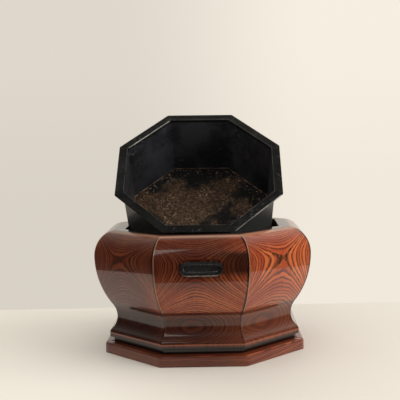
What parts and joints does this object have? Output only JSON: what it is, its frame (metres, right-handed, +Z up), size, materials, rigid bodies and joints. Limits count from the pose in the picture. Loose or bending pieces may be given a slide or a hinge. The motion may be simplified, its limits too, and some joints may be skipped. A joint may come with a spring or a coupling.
{
  "type": "octagonal charcoal hibachi",
  "caption": "Octagonal wooden charcoal brazier with a full belly, ogee foot and mitred plinth; a loose black sheet-copper fire liner leans in its mouth.",
  "frame": {"origin": "middle of the octagonal base, on the surface that the pot stands on", "axes": "+Z up; -Y is the face with the finger pull that the liner leans towards; +X to the right seen from there"},
  "size_m": [0.4, 0.4032, 0.4422],
  "materials": {
    "zelkova_body": "glossy wiped lacquer over ring-figured zelkova",
    "zelkova_plinth": "satin wiped lacquer, worn edges",
    "floor_wood": "bare planed softwood",
    "peg_wood": "bare hardwood",
    "pull_metal": "blackened, satin",
    "liner_copper": "black patinated sheet copper, satin",
    "liner_residue": "black patinated sheet copper under brown ash stains"
  },
  "bodies": {
    "pot": {"body": "zelkova_body", "floor_board": "floor_wood", "plinth_pegs": "peg_wood", "plinth_rail_1": "zelkova_plinth", "plinth_rail_2": "zelkova_plinth", "plinth_rail_3": "zelkova_plinth", "plinth_rail_4": "zelkova_plinth", "plinth_rail_5": "zelkova_plinth", "plinth_rail_6": "zelkova_plinth", "plinth_rail_7": "zelkova_plinth", "plinth_rail_8": "zelkova_plinth", "pull_front_dish": "pull_metal", "pull_front_rim": "pull_metal", "pull_front_pins": "pull_metal", "pull_back_dish": "pull_metal", "pull_back_rim": "pull_metal", "pull_back_pins": "pull_metal"},
    "liner": {"liner_wall": "liner_copper", "liner_bottom": "liner_residue", "liner_flange": "liner_copper"}
  },
  "joints": [
    {"name": "liner_lift", "type": "slide", "parent": "pot", "child": "liner", "axis": [0, 0, 1], "range_m": [0, 0.12]}
  ]
}
